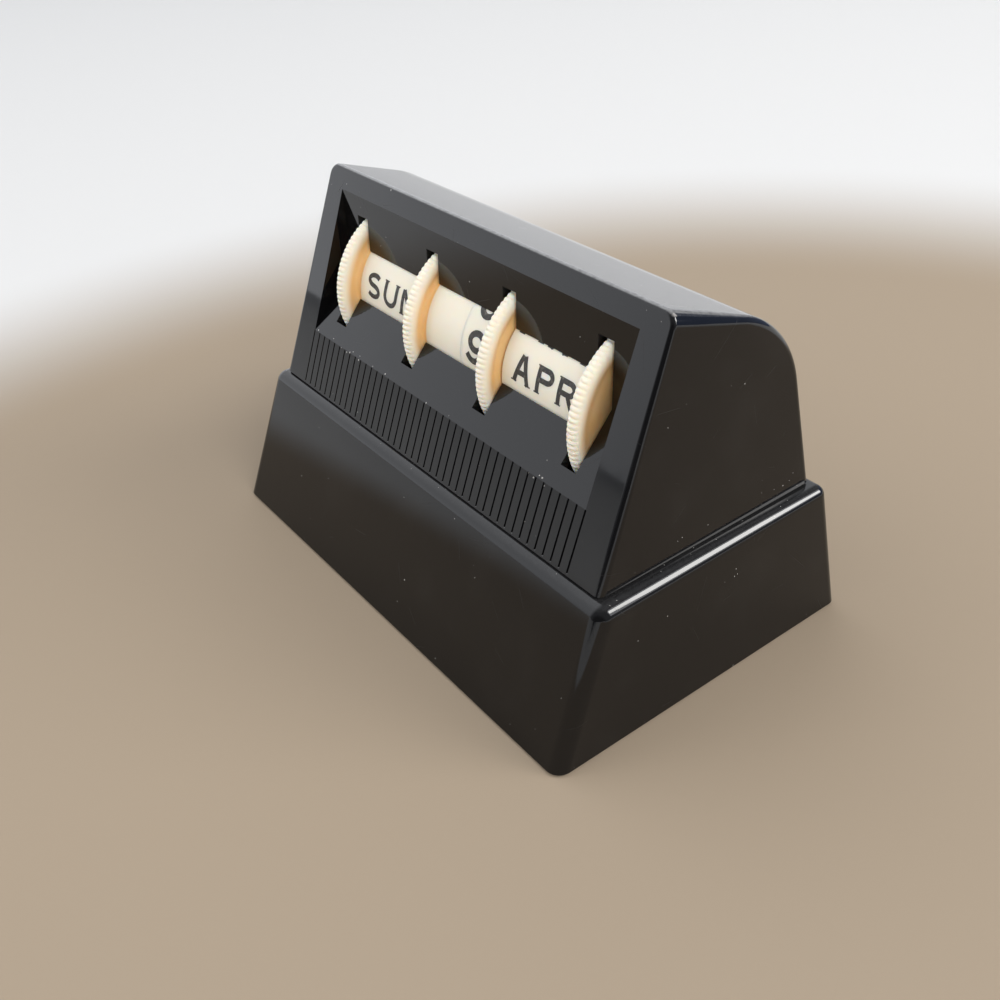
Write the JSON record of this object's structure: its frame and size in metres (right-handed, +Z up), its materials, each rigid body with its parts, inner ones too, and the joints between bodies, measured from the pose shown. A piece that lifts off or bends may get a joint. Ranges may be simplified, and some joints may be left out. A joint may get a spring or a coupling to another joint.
{
  "type": "perpetual desk calendar",
  "caption": "Perpetual desk calendar: day, date and month thumb wheels in the sloped face of a wedge-shaped housing on a plinth.",
  "frame": {"origin": "centre of the footprint, on the surface that the feet stand on", "axes": "+Z up; the display faces -Y; +X to the right as seen from the front, along the axle"},
  "size_m": [0.09, 0.0548, 0.0564],
  "materials": {
    "housing_plastic": "glossy black with fine scratches and dust",
    "plinth_plastic": "glossy black with fine scratches and dust",
    "wheel_plastic": "ivory, slightly yellowed, satin",
    "dial_ink": "printed black ink, slightly worn",
    "inner_plastic": "plain moulded black",
    "foot_rubber": "matt black",
    "axle_steel": "ground",
    "spring_steel": "rolled strip",
    "screw_zinc": "zinc plated",
    "washer_fibre": "vulcanised fibre"
  },
  "bodies": {
    "stand": {"upper_housing": "housing_plastic", "base_plinth": "plinth_plastic", "bottom_plate": "inner_plastic", "rubber_feet": "foot_rubber", "left_axle_bracket": "inner_plastic", "right_axle_bracket": "inner_plastic", "axle": "axle_steel", "left_retaining_ring": "spring_steel", "right_retaining_ring": "spring_steel", "left_spacer_tube": "wheel_plastic", "right_spacer_tube": "wheel_plastic", "wheel_washers": "washer_fibre", "drag_spring": "spring_steel", "spring_screws": "screw_zinc", "bracket_screws": "screw_zinc", "housing_screws": "screw_zinc", "plate_screws": "screw_zinc"},
    "day_wheel": {"day_wheel": "wheel_plastic"},
    "tens_wheel": {"tens_wheel": "wheel_plastic"},
    "units_wheel": {"units_wheel": "wheel_plastic"},
    "month_wheel": {"month_wheel": "wheel_plastic"}
  },
  "joints": [
    {"name": "day_turn", "type": "hinge", "parent": "stand", "child": "day_wheel", "pos_m": [-0.02926, 0.00279, 0.03771], "axis": [1, 0, 0], "continuous": true},
    {"name": "tens_turn", "type": "hinge", "parent": "stand", "child": "tens_wheel", "pos_m": [-0.0094, 0.00279, 0.03771], "axis": [1, 0, 0], "continuous": true},
    {"name": "units_turn", "type": "hinge", "parent": "stand", "child": "units_wheel", "pos_m": [0.0094, 0.00279, 0.03771], "axis": [1, 0, 0], "continuous": true},
    {"name": "month_turn", "type": "hinge", "parent": "stand", "child": "month_wheel", "pos_m": [0.02926, 0.00279, 0.03771], "axis": [1, 0, 0], "continuous": true}
  ]
}
